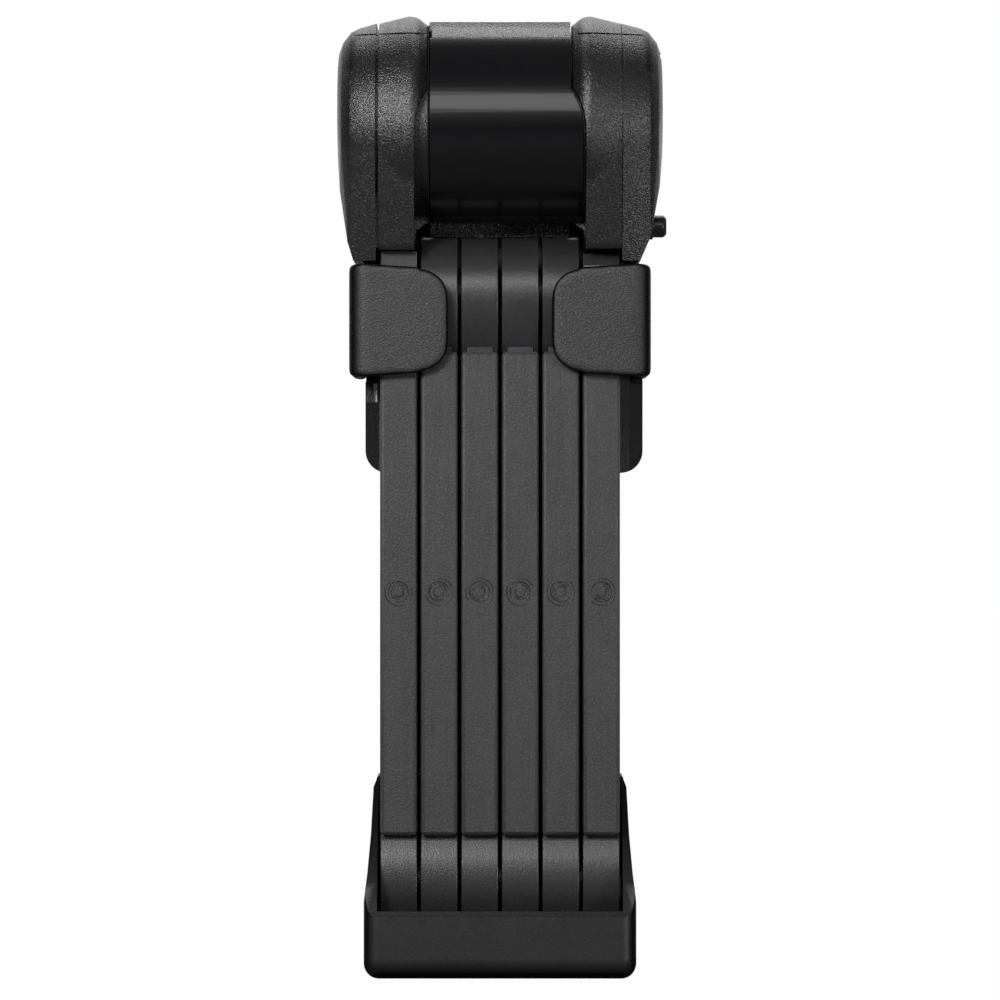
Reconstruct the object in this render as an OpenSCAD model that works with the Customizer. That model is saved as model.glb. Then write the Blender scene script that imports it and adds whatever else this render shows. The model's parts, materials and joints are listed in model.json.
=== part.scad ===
// Folding bike lock: six hinged bars under a barrel-shaped lock head, stowed in its frame bracket.
// Millimetres. +Z up, the lock faces -Y, the bars are stacked along X, Z = 0 under the tray.

/* [Links] */
// Distance between the two rivets of one link
link_pitch = 143.4; // [125:0.2:150]
// Spacing of neighbouring bars along the stack
stack_pitch = 9.8; // [9.6:0.1:10.4]
// Bar depth over the plastic covers
bar_depth = 28; // [26:0.5:29]
// Thickness of the plastic sleeve over a bar
sleeve_t = 9; // [8.5:0.1:9.2]
// Thickness of the knuckle covers at the bar ends
cover_t = 8.9; // [8.2:0.1:9.1]
// Steel bar thickness
steel_t = 6.2; // [5:0.1:6.4]
// Steel bar depth
steel_depth = 22; // [20:0.5:23]
// Diameter of the rivet shanks
rivet_d = 8; // [6:0.2:9]
// Radial running clearance of every turning fit
run_clear = 0.05; // [0.03:0.01:0.1]

/* [Lock head] */
// Height of the barrel axis above the lower rivets
barrel_rise = 185.2; // [175:0.2:195]
// Outside radius of the barrel and its nameplate
barrel_r = 24.2; // [23.4:0.1:25]
// Outside radius of the steel lock block
block_r = 15; // [14:0.1:16]
// Half width of the head over the end caps
head_half_w = 39.4; // [38:0.2:42]
// Radius of the cylinder plug
plug_r = 6.4; // [5.5:0.1:6.8]
// Radius on which the crank pin of the plug turns
crank_r = 3.5; // [2.5:0.1:3.6]
// Diameter of the locking bolt nose
bolt_d = 4.4; // [3.6:0.1:5]

/* [Bracket] */
// Thickness of the tray's side walls
tray_wall = 3.2; // [2.4:0.1:5]
// Room between the stack of bars and the tray's side walls
tray_gap = 0.6; // [0.4:0.1:2]
// Height of the tray's front lip
lip_h = 16.4; // [10:0.1:17]
// Height of the tray's side walls
side_h = 47.5; // [38:0.5:60]
// Lower edge of the clip arms
arm_z0 = 144.9; // [130:0.1:150]
// Height of the clip arms
arm_h = 27.4; // [20:0.1:27.5]
// Half gap between the tips of the clip arms
arm_gap = 12.5; // [9.8:0.1:18]
// Spacing of the two frame bolts
bolt_pitch = 64; // [64:0.5:72]
// Bolt slot width, for an M5 screw
slot_w = 5.5; // [5.2:0.1:6.5]
// Bolt slot length
slot_l = 9.5; // [7:0.5:12]

/* [Hidden] */
// Overshoot for clean cuts
e = 0.5;
half_d = bar_depth / 2;
steel_r = steel_depth / 2;
neck_d = half_d - 1.3;
low_z = 21.8;
up_z = low_z + link_pitch;
zb = low_z + barrel_rise;
sleeve_z0 = low_z + 12.5;
sleeve_z1 = up_z - 14.2;
head_d = 13;
head_t = 1.5;
washer_d = 14;
leg_in = 20.7;
leg_out = 29.3;
leg_bot = zb - 31.4;
plate_in = 17.4;
crown_x = 21.4;
crown_r = barrel_r + 2;
rise = crown_r - barrel_r;
seam_r = barrel_r + 0.3;
top6_z = leg_bot - 0.7;
bx = 2.5 * stack_pitch;
cap_t = head_half_w - leg_out - 0.2;
wall_in = bx + sleeve_t / 2 + tray_gap;
tray_half_w = wall_in + tray_wall;
crank_y = -crank_r * sin(45);
crank_z = zb + crank_r * sin(45);
foot_z0 = zb - 18.2;
foot_z1 = zb - block_r - 0.4;
back_y = half_d + 0.6;
plate_y = back_y + 4;
pad_y = crown_r + 0.8;
arm_out = tray_half_w + 3.7;
wing_l = tray_half_w + 0.5;
wing_r = tray_half_w + 2.5;
arm_front = half_d + 0.5;
arm_t = 3.2;
lip_in = half_d + 5.4;
lip_out = lip_in + 3;
floor_t = 3.4;
pad_top = low_z - half_d - 0.15;
mid_z = 93;
flap_z = zb + 9;
flap_x0 = cap_at(0.687);
flap_x1 = cap_at(0.788);
pin_r = 0.9 + 0.06 * cap_t;
rest_w = plate_in - 0.4;
strip_w = leg_in - 0.4;
rest_top = up_z + half_d + 2.3;
rest_z = arm_z0 + 18;
swell_low = 26;
swell_up = 30;
hub_r = 19;
ridge_z = zb + barrel_r - 3.8;
part_z = ridge_z + 0.2;
knob_z = zb - 25;
$fn = 64;

function bar_x(k) = (k - 3.5) * stack_pitch;
function is_odd(k) = k % 2 == 1;
function low_side(k) = is_odd(k) ? 1 : -1;
function up_side(k) = is_odd(k) ? -1 : 1;
function cap_at(f) = leg_out + 0.2 + f * cap_t;
function swell_at(d, r) = half_d - r + sqrt(r * r - d * d);
function rivet_z(j) = is_odd(j) ? low_z : up_z;

module block(x0, x1, y0, y1, z0, z1) {
  translate([x0, y0, z0]) cube([x1 - x0, y1 - y0, z1 - z0]);
}

module x_cyl(r, x0, x1, y, z) {
  translate([x0, y, z]) rotate([0, 90, 0]) cylinder(r = r, h = x1 - x0);
}

module y_cyl(r, y0, y1, x, z) {
  translate([x, y0, z]) rotate([-90, 0, 0]) cylinder(r = r, h = y1 - y0);
}

module z_cyl(r, z0, z1, x, y) {
  translate([x, y, z0]) cylinder(r = r, h = z1 - z0);
}

// Side profile (Y, Z) drawn out along X
module side_form(x0, x1) {
  translate([x0, 0, 0]) rotate([90, 0, 90]) linear_extrude(x1 - x0) children();
}

// Front profile (X, Z) drawn out along Y
module front_form(y0, y1) {
  translate([0, y1, 0]) rotate([90, 0, 0]) linear_extrude(y1 - y0) children();
}

// Profile (radius, X) turned about the barrel axis
module barrel_turn() {
  translate([0, 0, zb]) rotate([0, 90, 0]) rotate_extrude($fn = 96) children();
}

// Rectangle with round corners, centred
module round_rect(w, d, r) {
  square([w - 2 * r, d], center = true);
  square([w, d - 2 * r], center = true);
  for (sx = [-1, 1]) for (sy = [-1, 1])
    translate([sx * (w / 2 - r), sy * (d / 2 - r)]) circle(r, $fn = 24);
}

// Steel of one link as a plain stadium between two heights
module steel_form(x, t, z0, z1) {
  x_cyl(steel_r, x - t / 2, x + t / 2, 0, z0);
  x_cyl(steel_r, x - t / 2, x + t / 2, 0, z1);
  block(x - t / 2, x + t / 2, -steel_r, steel_r, z0, z1);
}

// Outside of the steel of link k, with no holes
module core_form(k) {
  x = bar_x(k);
  if (k == 1) {
    x_cyl(steel_r, x - steel_t / 2, x + steel_t / 2, 0, low_z);
    block(x - steel_t / 2, x + steel_t / 2, -steel_r, steel_r, low_z, zb - block_r + 2);
    x_cyl(block_r + 5, x - steel_t / 2, x + steel_t / 2, 0, zb);
  } else if (k == 6) {
    x_cyl(steel_r, x - steel_t / 2, x + steel_t / 2, 0, low_z);
    block(x - steel_t / 2, x + steel_t / 2, -steel_r, steel_r, low_z, top6_z - 1);
  } else {
    steel_form(x, steel_t, low_z, up_z);
  }
}

// Hole for rivet j in the steel of link k: a fixed bore on the first bar, a running bore on the second
module rivet_hole(k, j) {
  x = bar_x(k);
  fixed = k == j;
  s = fixed ? -1 : 1;
  x_cyl(rivet_d / 2 + (fixed ? 0 : run_clear), x - steel_t / 2 - e, x + steel_t / 2 + e, 0, rivet_z(j));
  deep = head_t + (fixed ? 0 : 0.1);
  rim = head_d / 2 + (fixed ? 0.3 : 0.35);
  face = x + s * steel_t / 2;
  x_cyl(rim, min(face - s * deep, face + s * e), max(face - s * deep, face + s * e), 0, rivet_z(j));
}

module link_core(k) {
  color([0.55, 0.56, 0.58]) difference() {
    core_form(k);
    if (k > 1) rivet_hole(k, k - 1);
    if (k < 6) rivet_hole(k, k);
    if (k == 1) x_cyl(block_r + run_clear, bar_x(1) - steel_t, bar_x(1) + steel_t, 0, zb);
    if (k == 6) z_cyl(bolt_d / 2 + 0.3, top6_z - 9, top6_z + e, bx, 0);
  }
}

// Long plastic sleeve of one link, with bevelled ends and a round moulding mark on the front
module link_sleeve(k) {
  x = bar_x(k);
  w = sleeve_t / 2;
  color([0.24, 0.24, 0.25]) difference() {
    intersection() {
      translate([x, 0, sleeve_z0]) linear_extrude(sleeve_z1 - sleeve_z0)
        round_rect(sleeve_t, bar_depth, 1);
      side_form(x - w, x + w) polygon([
        [-half_d + 0.8, sleeve_z0], [half_d - 0.8, sleeve_z0], [half_d, sleeve_z0 + 0.8],
        [half_d, sleeve_z1 - 0.8], [half_d - 0.8, sleeve_z1], [-half_d + 0.8, sleeve_z1],
        [-half_d, sleeve_z1 - 0.8], [-half_d, sleeve_z0 + 0.8]]);
      front_form(-half_d, half_d) polygon([
        [x - w + 0.5, sleeve_z0], [x + w - 0.5, sleeve_z0], [x + w, sleeve_z0 + 0.8],
        [x + w, sleeve_z1 - 0.8], [x + w - 0.5, sleeve_z1], [x - w + 0.5, sleeve_z1],
        [x - w, sleeve_z1 - 0.8], [x - w, sleeve_z0 + 0.8]]);
    }
    block(x - steel_t / 2, x + steel_t / 2, -steel_r, steel_r, sleeve_z0 - e, sleeve_z1 + e);
    difference() {
      y_cyl(2.6, -half_d - e, -half_d + 0.35, x, mid_z);
      y_cyl(1, -half_d - e, -half_d + 0.5, x, mid_z);
    }
  }
}

// Side of a knuckle: round about its rivet, then a slow swell up to the sleeve
module knuckle_side(z, reach, r) {
  translate([0, z]) circle(half_d, $fn = 96);
  polygon(concat(
    [for (i = [0:8]) [swell_at(i * reach / 8, r), z + i * reach / 8]],
    [for (i = [8:-1:0]) [-swell_at(i * reach / 8, r), z + i * reach / 8]]));
}

// Plastic knuckle over one end of a link, s = side on which the neighbour turns
module knuckle(k, z, up, s) {
  x = bar_x(k);
  w = cover_t / 2;
  difference() {
    side_form(x - w, x + w) knuckle_side(z, up ? sleeve_z1 - z : sleeve_z0 - z, up ? swell_up : swell_low);
    core_form(k);
    block(x - w - e, x + w + e, -half_d - e, half_d + e, sleeve_z0, sleeve_z1);
    x_cyl(washer_d / 2 + 0.5, min(x, x + s * (w + e)), max(x, x + s * (w + e)), 0, z);
  }
}

// Square-topped cover of the free end that meets the locking bolt
module strike_cover() {
  x = bar_x(6);
  w = cover_t / 2;
  difference() {
    side_form(x - w, x + w) polygon([
      [-neck_d, sleeve_z1], [neck_d, sleeve_z1], [neck_d, top6_z - 3], [neck_d - 2, top6_z],
      [-neck_d + 2, top6_z], [-neck_d, top6_z - 3]]);
    core_form(6);
    z_cyl(bolt_d / 2 + 0.3, top6_z - 4, top6_z + e, bx, 0);
  }
}

// Neck cover of the first bar, from its sleeve to the left leg
module neck_cover() {
  x = bar_x(1);
  w = cover_t / 2;
  difference() {
    block(x - w, x + w, -neck_d, neck_d, sleeve_z1, leg_bot - 0.2);
    core_form(1);
  }
}

module link_covers(k) {
  color([0.2, 0.2, 0.21]) {
    if (k == 1) neck_cover();
    knuckle(k, low_z, false, low_side(k));
    if (k > 1 && k < 6) knuckle(k, up_z, true, up_side(k));
    if (k == 6) strike_cover();
  }
}

// Flush rivet through bars j and j + 1
module link_rivet(j) {
  x0 = bar_x(j) - steel_t / 2;
  x1 = bar_x(j + 1) + steel_t / 2;
  color([0.66, 0.67, 0.69]) {
    x_cyl(rivet_d / 2, x0, x1, 0, rivet_z(j));
    x_cyl(head_d / 2, x0, x0 + head_t, 0, rivet_z(j));
    x_cyl(head_d / 2, x1 - head_t, x1, 0, rivet_z(j));
  }
}

// Spacer washer between the steel of bars j and j + 1
module link_washer(j) {
  x0 = bar_x(j) + steel_t / 2;
  x1 = bar_x(j + 1) - steel_t / 2 - 0.1;
  color([0.72, 0.62, 0.36]) difference() {
    x_cyl(washer_d / 2, x0, x1, 0, rivet_z(j));
    x_cyl(rivet_d / 2, x0 - e, x1 + e, 0, rivet_z(j));
  }
}

module bar_core_1() { link_core(1); }
module bar_core_2() { link_core(2); }
module bar_core_3() { link_core(3); }
module bar_core_4() { link_core(4); }
module bar_core_5() { link_core(5); }
module bar_core_6() { link_core(6); }
module bar_sleeve_1() { link_sleeve(1); }
module bar_sleeve_2() { link_sleeve(2); }
module bar_sleeve_3() { link_sleeve(3); }
module bar_sleeve_4() { link_sleeve(4); }
module bar_sleeve_5() { link_sleeve(5); }
module bar_sleeve_6() { link_sleeve(6); }
module end_covers_1() { link_covers(1); }
module end_covers_2() { link_covers(2); }
module end_covers_3() { link_covers(3); }
module end_covers_4() { link_covers(4); }
module end_covers_5() { link_covers(5); }
module end_covers_6() { link_covers(6); }
module rivet_1() { link_rivet(1); }
module rivet_2() { link_rivet(2); }
module rivet_3() { link_rivet(3); }
module rivet_4() { link_rivet(4); }
module rivet_5() { link_rivet(5); }
module pivot_washer_1() { link_washer(1); }
module pivot_washer_2() { link_washer(2); }
module pivot_washer_3() { link_washer(3); }
module pivot_washer_4() { link_washer(4); }
module pivot_washer_5() { link_washer(5); }

// Leg seen from the side: a round eye that narrows towards the bar
module leg_side(bottom) {
  translate([0, zb]) circle(seam_r, $fn = 96);
  polygon([[-seam_r + 0.3, zb - 4], [seam_r - 0.3, zb - 4], [17.5, bottom + 1.6], [16.3, bottom],
    [-16.3, bottom], [-17.5, bottom + 1.6]]);
}

// Front region where the inner crown of a ring stops and leaves the plate or a dark gap, m = side
module crown_end(m, gap) {
  polygon([[m * (plate_in - 2), zb - 40], [m * (leg_in + gap), zb - 40], [m * (leg_in + gap), zb - 2],
    [m * (leg_in - 0.5 + gap), zb + 1.5], [m * (leg_in - 1.6 + gap), zb + 4],
    [m * (plate_in + 0.4 + gap), zb + 6.6], [m * (plate_in - 2), zb + 8.6]]);
}

// Moulded ring and leg on one side of the barrel, m = side, hole = radius of its bore
module leg_shell(m, bottom, hole) {
  difference() {
    union() {
      barrel_turn() polygon([[0, m * plate_in], [barrel_r - 0.4, m * plate_in],
        [barrel_r, m * (plate_in + 0.4)], [barrel_r + 0.15 * rise, m * (plate_in + 0.9)],
        [barrel_r + 0.5 * rise, m * (plate_in + 1.7)],
        [barrel_r + 0.8 * rise, m * (plate_in + 2.6)], [crown_r - 0.05 * rise, m * (plate_in + 3.6)],
        [crown_r, m * (crown_x + 0.8)], [seam_r, m * (leg_out - 0.2)], [0, m * (leg_out - 0.2)]]);
      side_form(min(m * leg_in, m * leg_out), max(m * leg_in, m * leg_out)) leg_side(bottom);
    }
    x_cyl(hole, -head_half_w, head_half_w, 0, zb);
    intersection() {
      difference() {
        x_cyl(crown_r + 2, -leg_out, leg_out, 0, zb);
        x_cyl(m < 0 ? barrel_r - 1.6 : hub_r, -leg_out - 1, leg_out + 1, 0, zb);
      }
      front_form(-40, -2) crown_end(m, 0);
    }
    block(-leg_out, leg_out, -crown_r - 2, -12.2, part_z, part_z + 0.4);
  }
}

module left_leg() {
  color([0.17, 0.17, 0.18]) difference() {
    leg_shell(-1, leg_bot, block_r + 0.4);
    core_form(1);
    block(bar_x(1) - steel_t / 2, bar_x(1) + steel_t / 2, -steel_r, steel_r, leg_bot - e, zb);
  }
}

module right_leg() {
  color([0.17, 0.17, 0.18]) difference() {
    leg_shell(1, leg_bot + 0.3, block_r);
    z_cyl(bolt_d / 2 + 0.3, leg_bot - e, zb - block_r, bx, 0);
    block(0, bx + 3.4, -3.3, 3.3, foot_z0 - 6, zb - block_r + 1);
  }
}

// Outside of one end cap, blended through slices that shrink outwards; the flap's cap is slimmer below
module cap_form(m) {
  foot = m < 0 ? [[0.05, 15.5, 34], [0.6, 14.5, 34], [0.74, 15, 29.5], [0.93, 13.5, 17], [0.985, 11, 9]]
    : [[0, 15.5, 34], [0.444, 14.5, 34], [0.697, 15, 28.2], [0.919, 13.5, 16], [0.97, 11, 10]];
  hull() {
    for (s = [[m < 0 ? 0.05 : 0, seam_r, 0], [0.475, barrel_r - 0.9, 0], [0.677, barrel_r - 1.9, 0],
      [0.879, 19.2, 0.6], [0.98, 14.6, 2.4], [0.999, 12.8, 2.4]])
      x_cyl(s[1], m * cap_at(s[0]) - 0.01, m * cap_at(s[0]) + 0.01, 0, zb + s[2], $fn = 72);
    for (s = foot)
      block(m * cap_at(s[0]) - 0.01, m * cap_at(s[0]) + 0.01, -s[1], s[1], zb - s[2], zb - s[2] + 1);
  }
}

// End cap with a raised inner face that closes the seam, its dark slot beside the bar and its spigot bore
module cap_shell(m) {
  x0 = m < 0 ? -cap_at(0.1) : leg_out;
  x1 = m < 0 ? -leg_out - 0.15 : leg_out + 0.3;
  difference() {
    union() {
      cap_form(m);
      side_form(x0, x1) translate([0, zb]) circle(seam_r - 1.4, $fn = 72);
      block(x0, x1, -15, 15, zb - 31, zb - 10);
    }
    block(min(m * leg_out, m * cap_at(0.384)), max(m * leg_out, m * cap_at(0.384)), -13, 13,
      zb - 40, zb - 24.5);
    x_cyl(11, min(m * leg_out, m * cap_at(0.414)), max(m * leg_out, m * cap_at(0.414)), 0, zb);
    z_cyl(pin_r, zb - 20, zb + 20, m * cap_at(0.212), 0);
    block(-head_half_w, head_half_w, -crown_r - 2, -9.4, part_z, part_z + 0.4);
  }
}

module left_cap() {
  color([0.18, 0.18, 0.19]) cap_shell(-1);
}

// Right cap, cut flat behind for the swing of the keyhole flap
module right_cap() {
  color([0.18, 0.18, 0.19]) difference() {
    cap_shell(1);
    intersection() {
      x_cyl(flap_z - knob_z + 4.6, flap_x0 - 0.3, head_half_w + 3, 0, flap_z);
      block(flap_x0 - 0.4, head_half_w + 4, -7.6, 60, zb - 60, zb + 17);
    }
    x_cyl(plug_r + 0.4, cap_at(0.35), head_half_w, 0, zb);
    x_cyl(1.6, cap_at(0.45), head_half_w, 0, flap_z);
  }
}

// Steel lock block that carries the cylinder, the bolt slot and the journal of the left eye
module lock_block() {
  color([0.5, 0.51, 0.53]) difference() {
    union() {
      x_cyl(block_r, -leg_out, leg_out - 0.2, 0, zb);
      x_cyl(11, -cap_at(0.394), cap_at(0.394), 0, zb);
    }
    x_cyl(plug_r + 2, 2.4, cap_at(0.45), 0, zb);
    block(-1.2, 2.5, -6.6, 3.4, zb - block_r - 2, zb + 7.4);
    for (m = [-1, 1]) z_cyl(pin_r, zb - 20, zb + 20, m * cap_at(0.212), 0);
  }
}

module cap_pins() {
  color([0.6, 0.61, 0.63]) for (m = [-1, 1]) {
    z_cyl(pin_r, zb + plug_r + 2.4, zb + 19, m * cap_at(0.212), 0);
    z_cyl(pin_r, zb - 19, zb - plug_r - 2.4, m * cap_at(0.212), 0);
  }
}

// Space of the nameplate, which reaches the right leg below the crown
module plate_zone(gap) {
  y0 = -barrel_r - 2;
  block(-17 + gap, plate_in - 0.2 - gap, y0, -6 - gap, zb - barrel_r + 1.3 + gap, ridge_z - 0.5 - gap);
  intersection() {
    front_form(y0, -6 - gap) crown_end(1, -0.5 - gap);
    block(0, leg_in, y0, 0, zb - barrel_r + 1.3 + gap, ridge_z - 0.5 - gap);
  }
}

// Plastic tube between the two rings, with the seat of the nameplate in front and a ridge on top
module barrel_casing() {
  color([0.17, 0.17, 0.18]) difference() {
    union() {
      barrel_turn() polygon([[block_r, -plate_in + 0.3], [barrel_r - 0.7, -plate_in + 0.3],
        [barrel_r, -plate_in + 1], [barrel_r, plate_in - 0.3], [block_r, plate_in - 0.3]]);
      intersection() {
        barrel_turn() polygon([[hub_r + 0.2, plate_in - 1], [barrel_r, plate_in - 1], [barrel_r, leg_in],
          [hub_r + 0.2, leg_in]]);
        front_form(-40, -2.3) crown_end(1, -0.3);
      }
      block(-plate_in + 0.3, plate_in - 0.3, 9, 13, up_z + half_d + 0.6, zb - barrel_r + 5);
      side_form(-plate_in + 0.3, plate_in - 0.3) polygon([[-9, ridge_z], [9, ridge_z],
        [9, zb + barrel_r - 2.2], [6, zb + barrel_r + 0.2], [-6, zb + barrel_r + 0.2],
        [-9, zb + barrel_r - 2.2]]);
    }
    intersection() {
      difference() {
        x_cyl(barrel_r + 1, -18, leg_in, 0, zb);
        x_cyl(barrel_r - 1.4, -19, leg_in + 1, 0, zb);
      }
      plate_zone(0);
    }
    block(-1.4, leg_in + 1, -3.3, 3.3, foot_z0 - 5.4, zb - block_r + 1);
  }
}

// Glossy curved plate, left bare
module nameplate() {
  color([0.04, 0.04, 0.05]) intersection() {
    barrel_turn() polygon([[barrel_r - 1.4, -plate_in], [barrel_r, -plate_in], [barrel_r, leg_in],
      [barrel_r - 1.4, leg_in]]);
    plate_zone(0.1);
  }
}

module cylinder_shell() {
  color([0.75, 0.62, 0.32]) difference() {
    x_cyl(plug_r + 2, 2.4, cap_at(0.394), 0, zb);
    x_cyl(plug_r + run_clear, 2, cap_at(0.45), 0, zb);
  }
}

// Turning plug with its keyway and the crank pin that moves the bolt
module key_plug() {
  color([0.7, 0.71, 0.73]) {
    difference() {
      x_cyl(plug_r, 2.6, cap_at(0.636), 0, zb);
      block(14, cap_at(0.66), -1.1, 1.1, zb - 4.2, zb + 3.4);
      difference() {
        x_cyl(plug_r + 1, cap_at(0.414), cap_at(0.535), 0, zb);
        x_cyl(plug_r - 1, cap_at(0.4), cap_at(0.55), 0, zb);
      }
    }
    x_cyl(1.5, -0.9, 2.7, crank_y, crank_z);
  }
}

// Spring clip that keeps the plug in the cylinder
module plug_clip() {
  color([0.3, 0.3, 0.31]) difference() {
    x_cyl(plug_r + 0.3, cap_at(0.424), cap_at(0.515), 0, zb);
    x_cyl(plug_r - 0.9, cap_at(0.41), cap_at(0.53), 0, zb);
    block(cap_at(0.4), cap_at(0.55), -1.5, 1.5, zb, zb + 12);
  }
}

// Bolt carriage: nose in the right leg, foot under the block and riser to the crank pin
module locking_bolt() {
  color([0.62, 0.63, 0.65]) difference() {
    union() {
      z_cyl(bolt_d / 2, leg_bot + 0.6, foot_z0 + 0.5, bx, 0);
      block(-0.8, bx + 3, -3, 3, foot_z0, foot_z1);
      block(-0.8, 2.1, -6.2, 3, foot_z0, foot_z1);
      block(-0.8, 2.1, -6.2, 3, foot_z1 - 0.1, crank_z + 3.4);
    }
    block(-1.5, 3, -5.6, -0.4, crank_z - 1.72, crank_z + 1.72);
    block(-1.5, 3, -7, -3, foot_z0 - 1, zb - 8);
  }
}

// Keyhole flap that hangs from a pin, with its thumb knob
module dust_flap() {
  color([0.13, 0.13, 0.14]) difference() {
    union() {
      x_cyl(5.6, flap_x0, flap_x1, 0, flap_z);
      block(flap_x0, flap_x1, -5.6, 5.6, zb - 14, flap_z);
      x_cyl(7.2, flap_x0, flap_x1, 0, zb);
      block(flap_x0, flap_x1, -3.2, 3.2, knob_z, zb - 13);
      x_cyl(3.2, flap_x0, flap_x1, 0, knob_z);
      translate([flap_x1 - 0.2, 0, knob_z]) rotate([0, 90, 0]) rotate_extrude()
        polygon([[0, 0], [2.7, 0], [2.7, 2.7], [2, 3.5], [0, 3.5]]);
    }
    x_cyl(1.6 + run_clear, flap_x0 - e, flap_x1 + e, 0, flap_z);
  }
}

module flap_pin() {
  color([0.6, 0.61, 0.63]) {
    x_cyl(1.6, cap_at(0.45), flap_x1 + 0.2, 0, flap_z);
    x_cyl(2.8, flap_x1 + 0.2, flap_x1 + 1, 0, flap_z);
  }
}

// Front outline of the upper back plate with round lower corners
module plate_outline() {
  w = tray_half_w;
  r = 5.5;
  translate([-w, arm_z0 - 1]) square([2 * w, arm_h + 1]);
  difference() {
    translate([-wing_l, arm_z0 - 23]) square([wing_l + wing_r, 22.6]);
    for (s = [[-1, wing_l], [1, wing_r]]) translate([s[0] * s[1], arm_z0 - 23]) difference() {
      square(2 * r, center = true);
      translate([-s[0] * r, r]) circle(r, $fn = 48);
    }
  }
}

// Wedge that slopes the front of one wing back, m = side, w = reach of the wing
module wing_slope(m, w) {
  translate([0, 0, arm_z0 - 24]) linear_extrude(23.6)
    polygon([[m * (w - 3.6), back_y - 0.1], [m * (w + 0.2), back_y - 0.1], [m * (w + 0.2), back_y + 2.6]]);
}

// One bolt slot along Z at height z
module frame_slot(z) {
  for (d = [-1, 1]) y_cyl(slot_w / 2, back_y - 1, pad_y + 1, 0, z + d * (slot_l - slot_w) / 2, $fn = 48);
  block(-slot_w / 2, slot_w / 2, back_y - 1, pad_y + 1, z - (slot_l - slot_w) / 2, z + (slot_l - slot_w) / 2);
  for (d = [-1, 1]) y_cyl(5.2, back_y - 1, back_y + 6.2, 0, z + d * (slot_l - slot_w) / 2, $fn = 48);
  block(-5.2, 5.2, back_y - 1, back_y + 6.2, z - (slot_l - slot_w) / 2, z + (slot_l - slot_w) / 2);
}

// Back plate and spine with two bolt pads that stand off the frame tube
module bracket_spine() {
  low = max(mid_z - bolt_pitch / 2 - 12, side_h + 0.4);
  color([0.15, 0.15, 0.16]) difference() {
    union() {
      front_form(back_y, plate_y) plate_outline();
      block(-bx - 1.5, bx + 1.5, back_y, plate_y, side_h + 0.2, arm_z0);
      block(-9, 9, plate_y - 0.1, pad_y, low, mid_z + bolt_pitch / 2 + 12);
      for (m = [-1, 1])
        block(m * 11.5 - 1.5, m * 11.5 + 1.5, plate_y - 0.1, plate_y + 3, side_h + 0.4, arm_z0 + 10);
      block(-13, 13, plate_y, plate_y + 3, 22, side_h + 6);
    }
    for (d = [-1, 1]) frame_slot(mid_z + d * bolt_pitch / 2);
    for (m = [-1, 1]) y_cyl(1.4, plate_y - e, plate_y + 4, m * 6, 27);
    for (m = [-1, 1]) y_cyl(1.4, plate_y - 2.6, plate_y + e, m * 11, rest_z);
    for (m = [-1, 1]) z_cyl(1, arm_z0 - 6, arm_z0 + arm_h + 6, m * (tray_half_w - 2.4), plate_y - 2);
    block(-wing_l - e, -tray_half_w + 5, back_y - e, back_y + 2.2, arm_z0 - 5.5, arm_z0 + 2);
    arm_tongue(0);
    mirror([1, 0, 0]) arm_tongue(0);
    wing_slope(-1, wing_l);
    wing_slope(1, wing_r);
  }
}

// Upright behind the bars' upper ends, screwed to the back of the plate
module head_rest() {
  color([0.14, 0.14, 0.15]) difference() {
    block(-rest_w, rest_w, plate_y, plate_y + 3, arm_z0 + 12, rest_top);
    for (m = [-1, 1]) y_cyl(1.5, plate_y - e, plate_y + 4, m * 11, rest_z);
    for (m = [-1, 1]) y_cyl(2.9, plate_y + 1.5, plate_y + 4, m * 11, rest_z);
  }
}

// Rubber strips beside the head rest, which keep the legs from rattling
module rattle_strips() {
  color([0.08, 0.08, 0.08]) for (m = [-1, 1]) {
    translate([0, 0, arm_z0 + 12]) linear_extrude(rest_top - arm_z0 - 12)
      polygon([[m * rest_w, plate_y], [m * strip_w, plate_y], [m * (strip_w + 2.7), plate_y + 1.2],
        [m * (strip_w + 2.7), plate_y + 2.4], [m * rest_w, plate_y + 2.4]]);
    block(min(m * rest_w, m * strip_w), max(m * rest_w, m * strip_w), plate_y, plate_y + 2.4,
      arm_z0 + 12, rest_top + 3.5);
  }
}

// Rubber plugs over the heads of the frame bolts
module bolt_plugs() {
  color([0.1, 0.1, 0.1]) for (d = [-1, 1]) intersection() {
    frame_slot(mid_z + d * bolt_pitch / 2);
    block(-8, 8, back_y + 0.2, back_y + 1.8, mid_z - bolt_pitch, mid_z + bolt_pitch);
  }
}

// Front outline of the tray with round bottom corners
module tray_outline() {
  w = tray_half_w;
  difference() {
    translate([-w, 0]) square([2 * w, side_h]);
    for (m = [-1, 1]) translate([m * w, 0]) difference() {
      square(8, center = true);
      translate([-m * 4, 4]) circle(4, $fn = 48);
    }
    for (m = [-1, 1]) polygon([[m * (w + 1), lip_h + 1], [m * w, lip_h + 2], [m * (w - 0.8), 25],
      [m * (w - 1.5), 34], [m * (w - 1.9), side_h - 2.4], [m * (w - 2.6), side_h - 0.6],
      [m * (w - 3), side_h + 1],
      [m * (w + 1), side_h + 1]]);
  }
}

// Plan of the tray (X, Y), round at the two front corners
module tray_plan() {
  r = 3.6;
  w = tray_half_w;
  translate([-w + r, -lip_out]) square([2 * (w - r), lip_out + plate_y]);
  translate([-w, r - lip_out]) square([2 * w, lip_out + plate_y - r]);
  for (m = [-1, 1]) translate([m * (w - r), r - lip_out]) circle(r, $fn = 48);
}

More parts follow.
